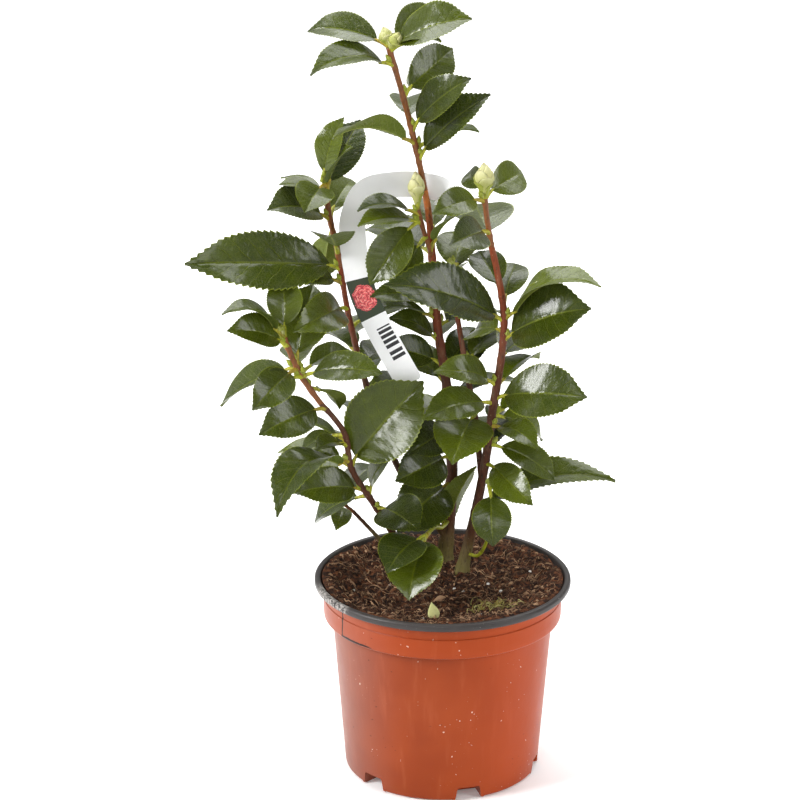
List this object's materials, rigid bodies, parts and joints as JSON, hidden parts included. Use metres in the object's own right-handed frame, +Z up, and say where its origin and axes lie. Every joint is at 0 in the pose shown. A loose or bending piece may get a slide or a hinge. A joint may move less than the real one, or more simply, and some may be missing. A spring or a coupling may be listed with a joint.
{
  "type": "potted camellia shrub",
  "caption": "Young evergreen camellia shrub with slim red-brown stems, glossy dark leaves and flower buds, in a two-colour plastic nursery pot filled with peat.",
  "frame": {"origin": "middle of the pot's flat underside, on the ground", "axes": "+Z up, +X to the right as seen from the front, +Y to the back; the picture looks along +Y"},
  "size_m": [0.2452, 0.1522, 0.454],
  "materials": {
    "pot": "terracotta-coloured moulded plastic with a soft sheen, black inside and on its rolled lip",
    "soil": "brown fibrous peat with pale grit and moss threads",
    "bark": "smooth young bark, red-brown above and grey-brown at the foot",
    "leaf": "waxy dark green leaves, glossy on top and paler and matt underneath, with pale buds",
    "tag": null
  },
  "bodies": {
    "root": {"pot": "pot", "soil": "soil", "trunk_leader": "bark", "stem_right": "bark", "bough_inner": "bark", "bough_left": "bark", "stem_left_low": "bark", "stem_thin": "bark", "foliage_leader_top": "leaf", "foliage_bud_shoot": "leaf", "foliage_leader_left": "leaf", "foliage_leader_back": "leaf", "foliage_trunk_left": "leaf", "foliage_foot_upright": "leaf", "foliage_foot_front": "leaf", "foliage_right_top": "leaf", "foliage_right_outer": "leaf", "foliage_right_inner": "leaf", "foliage_right_back": "leaf", "foliage_right_middle_left": "leaf", "foliage_right_middle": "leaf", "foliage_right_low_back": "leaf", "foliage_right_low": "leaf", "foliage_right_foot": "leaf", "foliage_foot_right": "leaf", "foliage_inner_top": "leaf", "foliage_inner_back": "leaf", "foliage_inner_front": "leaf", "foliage_left_top": "leaf", "foliage_left_long": "leaf", "foliage_left_back": "leaf", "foliage_low_left_top": "leaf", "foliage_low_left_front": "leaf", "foliage_low_left_large": "leaf", "foliage_low_left_back": "leaf", "foliage_thin_stem": "leaf", "plastic_tag": "tag"}
  },
  "joints": []
}
